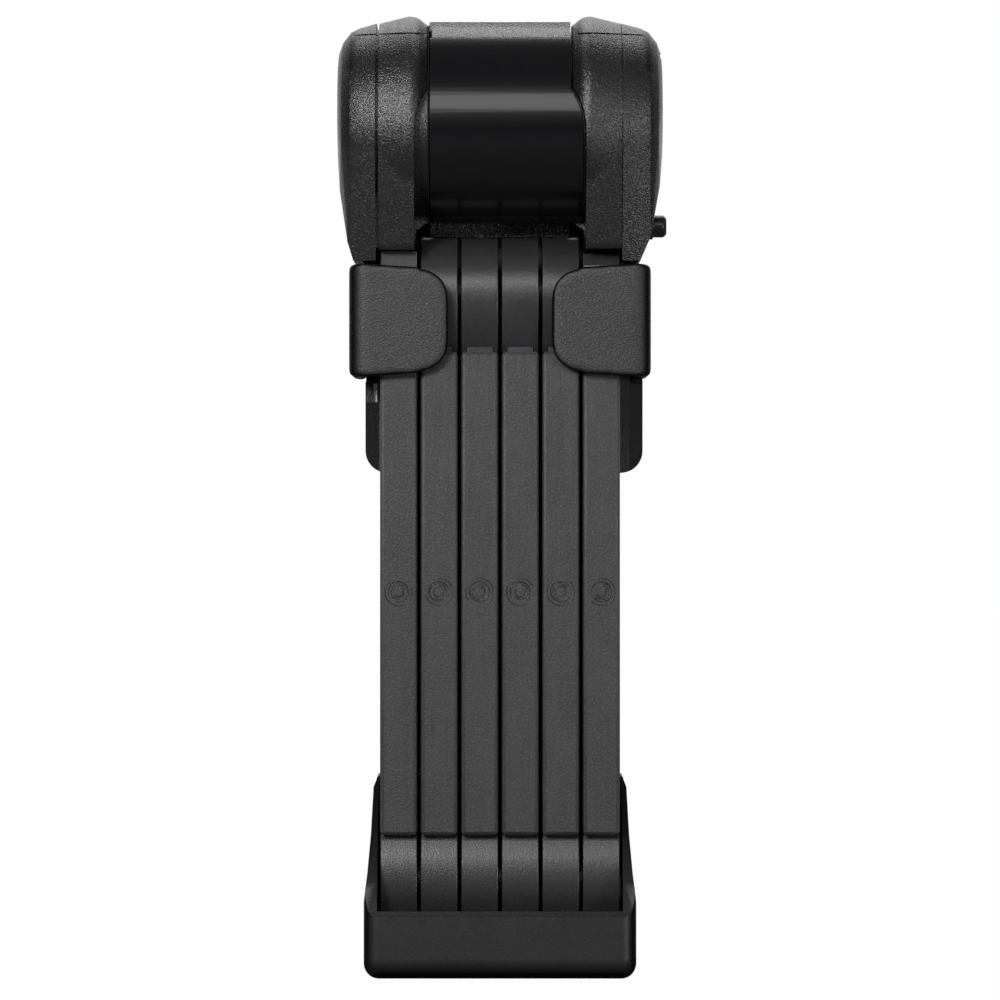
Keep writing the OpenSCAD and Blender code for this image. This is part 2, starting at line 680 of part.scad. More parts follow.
// Side outline of the tray: low lip in front, walls that rise to the back
module tray_side() {
  difference() {
    polygon([[-lip_out, 0], [plate_y, 0], [plate_y, side_h], [3, side_h], [-6, side_h - 9],
      [-lip_in, lip_h + 7],
      [-lip_out + 0.9, lip_h], [-lip_out, lip_h - 1.4]]);
    translate([-lip_out, 0]) difference() {
      square(4, center = true);
      translate([2, 2]) circle(2, $fn = 32);
    }
  }
}

module bracket_tray() {
  color([0.11, 0.11, 0.12]) difference() {
    intersection() {
      front_form(-lip_out, plate_y) tray_outline();
      side_form(-tray_half_w, tray_half_w) tray_side();
      linear_extrude(side_h) tray_plan();
    }
    block(-wall_in, wall_in, -lip_in, back_y, floor_t, side_h + 1);
    block(-wall_in, wall_in, -lip_out - 1, -lip_in + 0.1, lip_h, side_h);
    side_form(-wall_in, wall_in) polygon([[-lip_in - 1.1, lip_h + 0.1], [-lip_in + 0.2, lip_h + 0.1],
      [-lip_in + 0.2, lip_h - 1.5]]);
    block(wall_in - 2.4, wall_in, back_y - e, plate_y + e, 17, 22.4);
    for (m = [-1, 1]) y_cyl(1.5, back_y - e, plate_y + e, m * 6, 27);
    for (m = [-1, 1]) y_cyl(2.9, back_y - e, back_y + 1.6, m * 6, 27);
  }
}

module tray_pad() {
  color([0.08, 0.08, 0.08]) block(-wall_in, wall_in, -lip_in + 0.4, back_y - 0.4, floor_t, pad_top);
}

// Small screws that hold the tray and the head rest to the spine
module spine_screws() {
  color([0.6, 0.61, 0.63]) for (m = [-1, 1]) {
    y_cyl(1.4, back_y + 0.2, plate_y + 2.8, m * 6, 27);
    y_cyl(2.8, back_y + 0.2, back_y + 1.6, m * 6, 27);
    y_cyl(1.4, plate_y - 2.5, plate_y + 2.9, m * 11, rest_z);
    y_cyl(2.8, plate_y + 1.5, plate_y + 2.9, m * 11, rest_z);
  }
}

// Front outline of one clip arm wing
module wing_outline(m) {
  z1 = arm_z0 + arm_h;
  r = 7;
  difference() {
    polygon([[m * arm_gap, arm_z0 + 1.4], [m * (arm_out - 3), arm_z0], [m * arm_out, arm_z0 + 0.3],
      [m * arm_out, z1 - 0.3], [m * (arm_out - 3), z1], [m * arm_gap, z1 - 1.4]]);
    translate([m * arm_gap, z1 - 1.4]) difference() {
      square(2 * r, center = true);
      translate([m * r, -r]) circle(r, $fn = 64);
    }
    translate([m * arm_gap, arm_z0 + 1.4]) difference() {
      square(2 * r, center = true);
      translate([m * r, r]) circle(r, $fn = 64);
    }
  }
}

// Bent arm in plan (X, Y): wing in front, bend, side wall and root beside the back plate
module arm_plan(m) {
  r = 4;
  front = -arm_front - arm_t;
  difference() {
    union() {
      polygon([[m * (arm_gap - 1), front], [m * (arm_out - r), front], [m * arm_out, front + r],
        [m * arm_out, plate_y], [m * tray_half_w, plate_y], [m * tray_half_w, -arm_front],
        [m * (arm_gap - 1), -arm_front]]);
      translate([m * (arm_out - r), front + r]) circle(r, $fn = 48);
    }
    polygon([[0, -arm_front], [m * tray_half_w, -arm_front], [m * tray_half_w, plate_y + 1],
      [0, plate_y + 1]]);
    translate([m * (arm_gap - 1.5), front - 1]) polygon([[0, 0], [m * 3.4, 0], [0, 2.6]]);
  }
}

// Tongue on the right arm's root, with its pin hole left out
module arm_tongue(gap) {
  block(tray_half_w - 4.6 - gap, tray_half_w, back_y + 0.4 - gap, plate_y - 0.4 + gap,
    arm_z0 + 6 - gap, arm_z0 + arm_h - 6 + gap);
}

module clip_arm(m) {
  color([0.16, 0.16, 0.17]) difference() {
    union() {
      intersection() {
        front_form(-arm_front - arm_t - 1, plate_y + 1) wing_outline(m);
        translate([0, 0, arm_z0 - 1]) linear_extrude(arm_h + 2) arm_plan(m);
      }
      arm_tongue(0);
    }
    z_cyl(1, arm_z0 - 6, arm_z0 + arm_h + 6, tray_half_w - 2.4, plate_y - 2);
  }
}

module clip_arm_left() { mirror([1, 0, 0]) clip_arm(1); }
module clip_arm_right() { clip_arm(1); }

// Pins that key the arms' roots into the back plate
module clip_pins() {
  color([0.6, 0.61, 0.63]) for (m = [-1, 1])
    z_cyl(1, arm_z0 - 6, arm_z0 + arm_h, m * (tray_half_w - 2.4), plate_y - 2);
}

bar_core_1();
bar_core_2();
bar_core_3();
bar_core_4();
bar_core_5();
bar_core_6();
bar_sleeve_1();
bar_sleeve_2();
bar_sleeve_3();
bar_sleeve_4();
bar_sleeve_5();
bar_sleeve_6();
end_covers_1();
end_covers_2();
end_covers_3();
end_covers_4();
end_covers_5();
end_covers_6();
rivet_1();
rivet_2();
rivet_3();
rivet_4();
rivet_5();
pivot_washer_1();
pivot_washer_2();
pivot_washer_3();
pivot_washer_4();
pivot_washer_5();
left_leg();
right_leg();
left_cap();
right_cap();
lock_block();
barrel_casing();
nameplate();
cap_pins();
cylinder_shell();
key_plug();
plug_clip();
locking_bolt();
dust_flap();
flap_pin();
bracket_spine();
head_rest();
rattle_strips();
bracket_tray();
tray_pad();
bolt_plugs();
spine_screws();
clip_arm_left();
clip_arm_right();
clip_pins();
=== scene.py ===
import json
import math
import bpy
import bmesh
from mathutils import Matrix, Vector


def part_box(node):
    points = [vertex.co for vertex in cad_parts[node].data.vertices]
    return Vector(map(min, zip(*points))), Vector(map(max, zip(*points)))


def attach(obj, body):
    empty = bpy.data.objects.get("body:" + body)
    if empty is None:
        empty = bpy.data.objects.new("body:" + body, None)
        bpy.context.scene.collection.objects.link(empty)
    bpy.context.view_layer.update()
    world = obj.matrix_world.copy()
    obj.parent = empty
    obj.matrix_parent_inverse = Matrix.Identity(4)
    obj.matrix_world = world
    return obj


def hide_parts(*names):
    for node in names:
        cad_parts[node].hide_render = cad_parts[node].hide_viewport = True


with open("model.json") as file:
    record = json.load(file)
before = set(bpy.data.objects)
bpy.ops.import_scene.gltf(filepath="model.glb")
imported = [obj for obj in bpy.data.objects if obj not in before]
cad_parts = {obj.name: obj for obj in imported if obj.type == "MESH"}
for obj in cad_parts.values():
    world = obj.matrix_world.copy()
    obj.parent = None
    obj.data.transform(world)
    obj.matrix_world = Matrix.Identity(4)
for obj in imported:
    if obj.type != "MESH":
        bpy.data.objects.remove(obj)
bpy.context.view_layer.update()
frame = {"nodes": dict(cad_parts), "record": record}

bodyOf = {n: b for b, ns in frame["record"]["behaviour"]["bodies"].items() for n in ns}
slotOf = {s["node"]: s["material_slot"] for s in frame["record"]["subparts"]}
scene = bpy.context.scene
print("stage: frame loaded,", len(frame["nodes"]), "nodes")


# camera: long lens straight at the front, as the photo was taken
camSet = {"distance": 1.25, "height": 0.1152, "widthAtBars": 0.24155, "barFront": -0.014, "sensor": 36.0}
camData = bpy.data.cameras.new("frontCamera")
camData.sensor_width = camSet["sensor"]
camData.lens = camSet["sensor"] * camSet["distance"] / camSet["widthAtBars"]
camData.clip_end = 20.0
camera = bpy.data.objects.new("frontCamera", camData)
camera.location = (0, camSet["barFront"] - camSet["distance"], camSet["height"])
camera.rotation_euler = (math.radians(90), 0, 0)
scene.collection.objects.link(camera)
scene.camera = camera
scene.view_settings.view_transform = "Standard"
print("stage: camera set")


# shader groups: values that change over the surface, used by several finishes
def startGroup(name, inputs, outputs):
    tree = bpy.data.node_groups.new(name, "ShaderNodeTree")
    for label, kind, value in inputs:
        sock = tree.interface.new_socket(label, in_out="INPUT", socket_type=kind)
        if value is not None:
            sock.default_value = value
    for label, kind in outputs:
        tree.interface.new_socket(label, in_out="OUTPUT", socket_type=kind)
    return tree, tree.nodes.new("NodeGroupInput"), tree.nodes.new("NodeGroupOutput")


def mathNode(tree, op, a, b=None, c=None, clamp=False):
    node = tree.nodes.new("ShaderNodeMath")
    node.operation = op
    node.use_clamp = clamp
    for i, v in enumerate((a, b, c)):
        if v is None:
            continue
        if isinstance(v, (int, float)):
            node.inputs[i].default_value = v
        else:
            tree.links.new(v, node.inputs[i])
    return node.outputs[0]


def rangeNode(tree, value, lo, hi, toLo=0.0, toHi=1.0):
    node = tree.nodes.new("ShaderNodeMapRange")
    node.clamp = True
    tree.links.new(value, node.inputs["Value"])
    for label, v in (("From Min", lo), ("From Max", hi), ("To Min", toLo), ("To Max", toHi)):
        node.inputs[label].default_value = v
    return node.outputs["Result"]


def noiseNode(tree, vector, scale, detail=2.0, rough=0.5):
    node = tree.nodes.new("ShaderNodeTexNoise")
    node.inputs["Detail"].default_value = detail
    node.inputs["Roughness"].default_value = rough
    if isinstance(scale, (int, float)):
        node.inputs["Scale"].default_value = scale
    else:
        tree.links.new(scale, node.inputs["Scale"])
    tree.links.new(vector, node.inputs["Vector"])
    return node.outputs["Fac"]


def buildMouldGrain():
    # spark-eroded mould grain: fine pits, a sparse brighter fleck and a slow mottle
    tree, gin, gout = startGroup(
        "mouldGrain",
        [("Vector", "NodeSocketVector", None), ("Grain Scale", "NodeSocketFloat", 1500.0),
         ("Fleck Cut", "NodeSocketFloat", 0.62)],
        [("Height", "NodeSocketFloat"), ("Fleck", "NodeSocketFloat"), ("Mottle", "NodeSocketFloat")])
    vec, scale = gin.outputs["Vector"], gin.outputs["Grain Scale"]
    fine = noiseNode(tree, vec, scale, 2.0, 0.6)
    coarse = noiseNode(tree, vec, mathNode(tree, "MULTIPLY", scale, 0.42), 1.0, 0.5)
    finePart, coarsePart = mathNode(tree, "MULTIPLY", fine, 0.85), mathNode(tree, "MULTIPLY", coarse, 0.15)
    tree.links.new(mathNode(tree, "ADD", finePart, coarsePart), gout.inputs["Height"])
    fleckNoise = noiseNode(tree, vec, mathNode(tree, "MULTIPLY", scale, 0.8), 0.0, 0.5)
    overCut = mathNode(tree, "SUBTRACT", fleckNoise, gin.outputs["Fleck Cut"])
    tree.links.new(mathNode(tree, "MULTIPLY", overCut, 8.0, clamp=True), gout.inputs["Fleck"])
    tree.links.new(noiseNode(tree, vec, 110.0, 4.0, 0.6), gout.inputs["Mottle"])
    return tree


def buildRubMarks():
    # faint rubbed streaks along the bars' length and a few fine scuffs
    tree, gin, gout = startGroup(
        "rubMarks", [("Vector", "NodeSocketVector", None), ("Stretch", "NodeSocketFloat", 0.06)],
        [("Streak", "NodeSocketFloat"), ("Scuff", "NodeSocketFloat")])
    sep = tree.nodes.new("ShaderNodeSeparateXYZ")
    tree.links.new(gin.outputs["Vector"], sep.inputs[0])
    joined = tree.nodes.new("ShaderNodeCombineXYZ")
    tree.links.new(sep.outputs["X"], joined.inputs["X"])
    tree.links.new(sep.outputs["Y"], joined.inputs["Y"])
    tree.links.new(mathNode(tree, "MULTIPLY", sep.outputs["Z"], gin.outputs["Stretch"]), joined.inputs["Z"])
    tree.links.new(noiseNode(tree, joined.outputs[0], 620.0, 3.0, 0.65), gout.inputs["Streak"])
    scuff = noiseNode(tree, gin.outputs["Vector"], 320.0, 5.0, 0.7)
    tree.links.new(rangeNode(tree, scuff, 0.60, 0.72), gout.inputs["Scuff"])
    return tree


def buildTurnedLines():
    # fine lathe lines across a turned or rolled metal piece
    tree, gin, gout = startGroup(
        "turnedLines", [("Vector", "NodeSocketVector", None), ("Line Scale", "NodeSocketFloat", 900.0)],
        [("Line", "NodeSocketFloat"), ("Stain", "NodeSocketFloat")])
    wave = tree.nodes.new("ShaderNodeTexWave")
    wave.bands_direction = "X"
    wave.inputs["Distortion"].default_value = 3.0
    wave.inputs["Detail"].default_value = 3.0
    tree.links.new(gin.outputs["Line Scale"], wave.inputs["Scale"])
    tree.links.new(gin.outputs["Vector"], wave.inputs["Vector"])
    tree.links.new(wave.outputs["Fac"], gout.inputs["Line"])
    tree.links.new(noiseNode(tree, gin.outputs["Vector"], 180.0, 4.0, 0.6), gout.inputs["Stain"])
    return tree


def buildFrontEdgeShade():
    # painted shade mask: one on faces that stand in front, falling off round the rounded edges and on tops and
    # bottoms, which are painted darker as if turned away from the light; upright sides and back keep their tone
    tree, gin, gout = startGroup(
        "frontPolish", [("Vector", "NodeSocketVector", None)], [("Front", "NodeSocketFloat")])
    sep = tree.nodes.new("ShaderNodeSeparateXYZ")
    tree.links.new(gin.outputs["Vector"], sep.inputs[0])
    ahead = rangeNode(tree, mathNode(tree, "MULTIPLY", sep.outputs["Y"], -1.0), 0.70, 0.985)
    behind = mathNode(tree, "MULTIPLY", rangeNode(tree, sep.outputs["Y"], -0.15, 0.05),
                      rangeNode(tree, mathNode(tree, "ABSOLUTE", sep.outputs["Z"], 0.0), 0.5, 0.9, 1.0, 0.0))
    tree.links.new(mathNode(tree, "MAXIMUM", ahead, behind), gout.inputs["Front"])
    return tree


def buildCheekPaintedShade():
    # painted shade mask: one everywhere but on the rounded cheeks that turn away to the left and right, which
    # are painted darker as if in shade; the flat outermost sides keep their tone
    tree, gin, gout = startGroup(
        "cheekPolish", [("Vector", "NodeSocketVector", None)], [("Front", "NodeSocketFloat")])
    sep = tree.nodes.new("ShaderNodeSeparateXYZ")
    tree.links.new(gin.outputs["Vector"], sep.inputs[0])
    aside = mathNode(tree, "ABSOLUTE", sep.outputs["X"], 0.0)
    ahead, flatSide = rangeNode(tree, aside, 0.40, 0.72, 1.0, 0.0), rangeNode(tree, aside, 0.96, 0.995)
    tree.links.new(mathNode(tree, "MAXIMUM", ahead, flatSide), gout.inputs["Front"])
    return tree


groups = {"grain": buildMouldGrain(), "rub": buildRubMarks(), "lines": buildTurnedLines(),
          "front": buildFrontEdgeShade(), "cheek": buildCheekPaintedShade()}
print("stage: shader groups", sorted(groups))


def startFinish(name):
    mat = bpy.data.materials.new(name)
    mat.use_nodes = True
    tree = mat.node_tree
    shader = next(n for n in tree.nodes if n.type == "BSDF_PRINCIPLED")
    coord = tree.nodes.new("ShaderNodeTexCoord")
    return mat, tree, shader, coord.outputs["Object"]


def placeGroup(tree, key, vector, **values):
    node = tree.nodes.new("ShaderNodeGroup")
    node.node_tree = groups[key]
    tree.links.new(vector, node.inputs["Vector"])
    for label, v in values.items():
        node.inputs[label].default_value = v
    return node


def mixColour(tree, fac, a, b):
    node = tree.nodes.new("ShaderNodeMix")
    node.data_type = "RGBA"
    tree.links.new(fac, node.inputs["Factor"])
    for sock, v in ((node.inputs[6], a), (node.inputs[7], b)):
        if isinstance(v, (tuple, list)):
            sock.default_value = (*v, 1.0)
        else:
            tree.links.new(v, sock)
    return node.outputs[2]


def bumpFrom(tree, shader, height, strength, distance):
    bump = tree.nodes.new("ShaderNodeBump")
    bump.inputs["Strength"].default_value = strength
    bump.inputs["Distance"].default_value = distance
    tree.links.new(height, bump.inputs["Height"])
    tree.links.new(bump.outputs["Normal"], shader.inputs["Normal"])


scuffGloss = 0.06  # how much a scuff smooths the grain


def grainedPlastic(name, cfg):
    mat, tree, shader, vec = startFinish(name)
    grain = placeGroup(tree, "grain", vec, **{"Grain Scale": cfg["grain"], "Fleck Cut": cfg["fleckCut"]})
    rub = placeGroup(tree, "rub", vec)
    base = mixColour(tree, rangeNode(tree, grain.outputs["Mottle"], 0.3, 0.7), cfg["dark"], cfg["light"])
    streak = mathNode(tree, "MULTIPLY", rub.outputs["Streak"], cfg["streak"])
    streaked = mixColour(tree, streak, base, cfg["rubbed"])
    fleck = mathNode(tree, "MULTIPLY", grain.outputs["Fleck"], cfg["fleck"])
    flecked = mixColour(tree, fleck, streaked, cfg["rubbed"])
    if "shade" in cfg:  # painted shade: rounded edges that turn away are darkened in colour and lowered in specular, while faces that stand in front keep their tone
        front = placeGroup(tree, cfg.get("shadeBy", "front"), vec.node.outputs["Normal"]).outputs["Front"]
        edgePaintedShade = mathNode(tree, "MULTIPLY", mathNode(tree, "SUBTRACT", 1.0, front), cfg["shade"])
        tree.links.new(mixColour(tree, edgePaintedShade, flecked, (0.0, 0.0, 0.0)), shader.inputs["Base Color"])
        sheen = rangeNode(tree, front, 0.0, 1.0, cfg["specular"] * (1.0 - cfg["shade"]), cfg["specular"])
        tree.links.new(sheen, shader.inputs["Specular IOR Level"])
    else:
        tree.links.new(flecked, shader.inputs["Base Color"])
        shader.inputs["Specular IOR Level"].default_value = cfg["specular"]
    smoothest = cfg["rough"] - 0.5 * cfg["roughVary"]
    rough = mathNode(tree, "MULTIPLY_ADD", grain.outputs["Height"], cfg["roughVary"], smoothest)
    scuffed = mathNode(tree, "MULTIPLY", rub.outputs["Scuff"], scuffGloss)
    tree.links.new(mathNode(tree, "SUBTRACT", rough, scuffed), shader.inputs["Roughness"])
    relief = mathNode(tree, "MULTIPLY_ADD", rub.outputs["Streak"], cfg["drawn"], grain.outputs["Height"])
    bumpFrom(tree, shader, relief, cfg["bump"], cfg["depth"])
    return mat


lineSet = {"roughSpan": (-0.06, 0.08), "bump": 0.12, "depth": 0.00005}


def turnedMetal(name, cfg):
    mat, tree, shader, vec = startFinish(name)
    lines = placeGroup(tree, "lines", vec, **{"Line Scale": cfg["lines"]})
    stain = rangeNode(tree, lines.outputs["Stain"], 0.35, 0.7)
    tree.links.new(mixColour(tree, stain, cfg["light"], cfg["dark"]), shader.inputs["Base Color"])
    below, above = lineSet["roughSpan"]
    tree.links.new(rangeNode(tree, lines.outputs["Line"], 0.0, 1.0, cfg["rough"] + below, cfg["rough"] + above),
                   shader.inputs["Roughness"])
    shader.inputs["Metallic"].default_value = 1.0
    bumpFrom(tree, shader, lines.outputs["Line"], lineSet["bump"], lineSet["depth"])
    return mat


plasticSet = {
    "sleeve_plastic": {
        "dark": (0.034, 0.034, 0.036), "light": (0.050, 0.050, 0.052), "rubbed": (0.085, 0.085, 0.088),
        "grain": 2600.0, "fleckCut": 0.56, "fleck": 0.7, "streak": 0.5, "rough": 0.48, "roughVary": 0.22,
        "specular": 0.40, "bump": 0.8, "depth": 0.00016, "drawn": 0.9},
    "cover_plastic": {
        "dark": (0.018, 0.018, 0.019), "light": (0.026, 0.026, 0.028), "rubbed": (0.050, 0.050, 0.053),
        "grain": 3000.0, "fleckCut": 0.60, "fleck": 0.35, "streak": 0.35, "rough": 0.33,
        "roughVary": 0.16, "specular": 0.72, "bump": 0.6, "depth": 0.00010, "drawn": 0.6},
    # head: "shade" paints shade on the rounded cheeks through the cheek mask
    "head_plastic": {
        "dark": (0.011, 0.011, 0.012), "light": (0.016, 0.016, 0.017), "rubbed": (0.034, 0.035, 0.037),
        "grain": 2500.0, "fleckCut": 0.62, "fleck": 0.25, "streak": 0.06, "rough": 0.26,
        "roughVary": 0.24, "specular": 0.75, "bump": 0.95, "depth": 0.00022, "drawn": 0.1, "shade": 0.8,
        "shadeBy": "cheek"},
    # "shade" on the bracket and tray paints shade on rounded edges, tops and bottoms through the front mask
    "bracket_plastic": {
        "dark": (0.022, 0.022, 0.023), "light": (0.030, 0.030, 0.031), "rubbed": (0.055, 0.055, 0.057),
        "grain": 2500.0, "fleckCut": 0.60, "fleck": 0.35, "streak": 0.08, "rough": 0.38,
        "roughVary": 0.24, "specular": 0.48, "bump": 0.95, "depth": 0.00022, "drawn": 0.1, "shade": 0.85},
    "tray_plastic": {
        "dark": (0.014, 0.014, 0.015), "light": (0.020, 0.020, 0.021), "rubbed": (0.045, 0.045, 0.047),
        "grain": 2800.0, "fleckCut": 0.62, "fleck": 0.25, "streak": 0.15, "rough": 0.42,
        "roughVary": 0.16, "specular": 0.60, "bump": 0.4, "depth": 0.00010, "drawn": 0.3, "shade": 0.85},
    "flap_plastic": {
        "dark": (0.012, 0.012, 0.013), "light": (0.017, 0.017, 0.018), "rubbed": (0.04, 0.04, 0.042),
        "grain": 2800.0, "fleckCut": 0.66, "fleck": 0.15, "streak": 0.05, "rough": 0.33,
        "roughVary": 0.08, "specular": 0.5, "bump": 0.08, "depth": 0.00006, "drawn": 0.1},
    "pad_rubber": {
        "dark": (0.008, 0.008, 0.008), "light": (0.012, 0.012, 0.012), "rubbed": (0.03, 0.03, 0.028),
        "grain": 1300.0, "fleckCut": 0.63, "fleck": 0.25, "streak": 0.10, "rough": 0.78,
        "roughVary": 0.12, "specular": 0.3, "bump": 0.3, "depth": 0.00015, "drawn": 0.1},
    "washer_nylon": {
        "dark": (0.012, 0.012, 0.012), "light": (0.017, 0.017, 0.017), "rubbed": (0.03, 0.03, 0.03),
        "grain": 2600.0, "fleckCut": 0.66, "fleck": 0.1, "streak": 0.05, "rough": 0.42, "roughVary": 0.08,
        "specular": 0.45, "bump": 0.08, "depth": 0.00006, "drawn": 0.1},
}
metalSet = {
    "bar_steel": {"light": (0.085, 0.086, 0.090), "dark": (0.050, 0.051, 0.054), "lines": 420.0, "rough": 0.48},
    "rivet_steel": {"light": (0.50, 0.51, 0.52), "dark": (0.38, 0.39, 0.41), "lines": 900.0, "rough": 0.32},
    "plug_steel": {"light": (0.60, 0.61, 0.63), "dark": (0.46, 0.47, 0.49), "lines": 1100.0, "rough": 0.26},
    "cylinder_brass": {"light": (0.66, 0.50, 0.22), "dark": (0.48, 0.34, 0.14), "lines": 1000.0, "rough": 0.30},
}
finish = {k: grainedPlastic(k, v) for k, v in plasticSet.items()}
finish.update({k: turnedMetal(k, v) for k, v in metalSet.items()})


def polishedPlate(name):
    # bare polished black plate: a little haze and hairlines under the gloss
    cfg = {"black": (0.003, 0.003, 0.004), "haze": (0.006, 0.006, 0.007), "rough": 0.21,
           "scuff": 0.05, "stretch": 0.4, "specular": 0.5}
    mat, tree, shader, vec = startFinish(name)
    rub = placeGroup(tree, "rub", vec, Stretch=cfg["stretch"])
    hazed = mixColour(tree, rub.outputs["Streak"], cfg["black"], cfg["haze"])
    tree.links.new(hazed, shader.inputs["Base Color"])
    rough = mathNode(tree, "MULTIPLY_ADD", rub.outputs["Scuff"], cfg["scuff"], cfg["rough"])
    tree.links.new(rough, shader.inputs["Roughness"])
    shader.inputs["Specular IOR Level"].default_value = cfg["specular"]
    return mat


finish["gloss_plate"] = polishedPlate("gloss_plate")
print("stage: finishes", len(finish))

for nodeName, obj in frame["nodes"].items():
    obj.data.materials.clear()
    obj.data.materials.append(finish[slotOf[nodeName]])


# moulded pieces: the CAD form with its edges rounded as a mould leaves them
edgeAngle = math.radians(28)  # steeper edges are rounded, flatter ones shaded smooth


def mergedCopy(nodeName, ending):
    mesh = frame["nodes"][nodeName].data.copy()
    mesh.name = nodeName + ending
    bm = bmesh.new()
    bm.from_mesh(mesh)
    bmesh.ops.remove_doubles(bm, verts=bm.verts, dist=2e-6)
    return mesh, bm


def placeMesh(mesh):
    obj = bpy.data.objects.new(mesh.name, mesh)
    scene.collection.objects.link(obj)
    return obj


def standsFor(obj, nodeName):
    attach(obj, bodyOf[nodeName])
    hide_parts(nodeName)


def rollUnder(bm, cfg):
    # the front rolls under with a wide radius at its foot; the cavity's walls stay
    wide, own = cfg["radius"], cfg["ownRadius"]
    for k in range(1, cfg["cuts"] + 1):
        bmesh.ops.bisect_plane(bm, geom=bm.verts[:] + bm.edges[:] + bm.faces[:], dist=1e-7,
                               plane_co=(0, 0, wide * k / cfg["cuts"]), plane_no=(0, 0, 1))
    wallX, wallY, floorZ = cfg["cavity"]
    for v in bm.verts:
        outer = abs(v.co.x) > wallX or v.co.y < wallY or v.co.z < floorZ
        ahead = min(max((cfg["back"] - v.co.y) / (cfg["back"] - cfg["front"]), 0.0), 1.0)
        if outer and ahead > 0 and v.co.z < wide:
            inset = wide - math.sqrt(wide ** 2 - (wide - v.co.z) ** 2)
            low = max(own - v.co.z, 0.0)
            v.co.y += ahead * (inset - own + math.sqrt(own ** 2 - low ** 2))


def roundedCopy(nodeName, cfg):
    mesh, bm = mergedCopy(nodeName, "Moulded")
    bmesh.ops.dissolve_limit(bm, angle_limit=math.radians(0.6), verts=bm.verts, edges=bm.edges)
    if "roll" in cfg:
        rollUnder(bm, cfg["roll"])
    for face in bm.faces:
        face.smooth = True
    weight = bm.edges.layers.float.new("bevel_weight_edge")
    for edge in bm.edges:  # edges of small recesses stay crisp
        if len(edge.link_faces) == 2 and edge.calc_length() >= cfg.get("shortest", 0.0):
            if edge.calc_face_angle() > edgeAngle:
                edge[weight] = 1.0
    bm.to_mesh(mesh)
    bm.free()
    mesh.set_sharp_from_angle(angle=edgeAngle)
    obj = placeMesh(mesh)
    bevel = obj.modifiers.new("mouldEdge", "BEVEL")
    bevel.limit_method = "WEIGHT"
    bevel.width = cfg["round"]
    bevel.segments = 3
    shade = obj.modifiers.new("evenShade", "WEIGHTED_NORMAL")
    shade.keep_sharp = True
    standsFor(obj, nodeName)


edgeSet = {
    "left_cap": {"round": 0.0012}, "right_cap": {"round": 0.0012}, "left_leg": {"round": 0.0007},
    "right_leg": {"round": 0.0007}, "barrel_casing": {"round": 0.0004}, "nameplate": {"round": 0.0003},
    "bracket_spine": {"round": 0.0005}, "head_rest": {"round": 0.0004},
    "bracket_tray": {"round": 0.0011, "roll": {
        "radius": 0.005, "ownRadius": 0.002, "cuts": 10, "front": -0.0224, "back": -0.017,
        "cavity": (0.0297, -0.0195, 0.0033)}},
    "dust_flap": {"round": 0.0003},
}
for k in range(1, 7):
    edgeSet["bar_sleeve_%d" % k] = {"round": 0.0004, "shortest": 0.0012}
    edgeSet["end_covers_%d" % k] = {"round": 0.0006}
for nodeName, cfg in edgeSet.items():
    roundedCopy(nodeName, cfg)
print("stage: moulded pieces", len(edgeSet))


# the springy clip arms have no crisp edge: remeshed finely and relaxed
armSet = {"cell": 0.00042, "relax": 36, "strength": 0.5}


def softCopy(nodeName, cfg):
    mesh, bm = mergedCopy(nodeName, "Soft")
    bm.to_mesh(mesh)
    bm.free()
    obj = placeMesh(mesh)
    fine = obj.modifiers.new("fineCells", "REMESH")
    fine.mode = "VOXEL"
    fine.voxel_size = cfg["cell"]
    fine.use_smooth_shade = True
    relax = obj.modifiers.new("relaxed", "SMOOTH")
    relax.factor = cfg["strength"]
    relax.iterations = cfg["relax"]
    standsFor(obj, nodeName)


for side in ("left", "right"):
    softCopy("clip_arm_" + side, armSet)
print("stage: soft arms")


# soft trim of black rubber
def rubberPiece(name, bm, body):
    for f in bm.faces:
        f.smooth = True
    mesh = bpy.data.meshes.new(name)
    bm.to_mesh(mesh)
    bm.free()
    mesh.set_sharp_from_angle(angle=math.radians(40))
    mesh.materials.append(finish["pad_rubber"])
    obj = placeMesh(mesh)
    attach(obj, body)


# lips along the top of the back plate behind the legs, and buffers between arms and wings
lipSet = {"thick": 0.0012, "back": 0.0195, "round": 0.00035, "outline": (
    (0.0200, 0.1715), (0.0312, 0.1715), (0.0312, 0.1776), (0.0228, 0.1776), (0.0222, 0.1846), (0.0200, 0.1846))}
bufferSet = {"depth": (0.0146, 0.0183), "height": (0.1440, 0.1462),
             "span": {"Left": (-0.0331, -0.0290), "Right": (0.0318, 0.0352)}}


def softStrip(name, outline, y0, y1):
    bm = bmesh.new()
    ring = [bm.verts.new((x, y0, z)) for x, z in outline]
    face = bm.faces.new(ring)
    pulled = bmesh.ops.extrude_face_region(bm, geom=[face])["geom"]
    bmesh.ops.translate(bm, verts=[v for v in pulled if isinstance(v, bmesh.types.BMVert)], vec=(0, y1 - y0, 0))
    bmesh.ops.recalc_face_normals(bm, faces=bm.faces)
    bmesh.ops.bevel(bm, geom=list(bm.edges), offset=lipSet["round"], segments=3, profile=0.5, affect="EDGES")
    rubberPiece(name, bm, "bracket")


for side, label in ((-1, "Left"), (1, "Right")):
    softStrip("headLip" + label, [(side * x, z) for x, z in lipSet["outline"]],
              lipSet["back"], lipSet["back"] + lipSet["thick"])
z0, z1 = bufferSet["height"]
for label, (x0, x1) in bufferSet["span"].items():
    softStrip("armBuffer" + label, [(x0, z0), (x1, z0), (x1, z1), (x0, z1)], *bufferSet["depth"])
print("stage: soft lips")
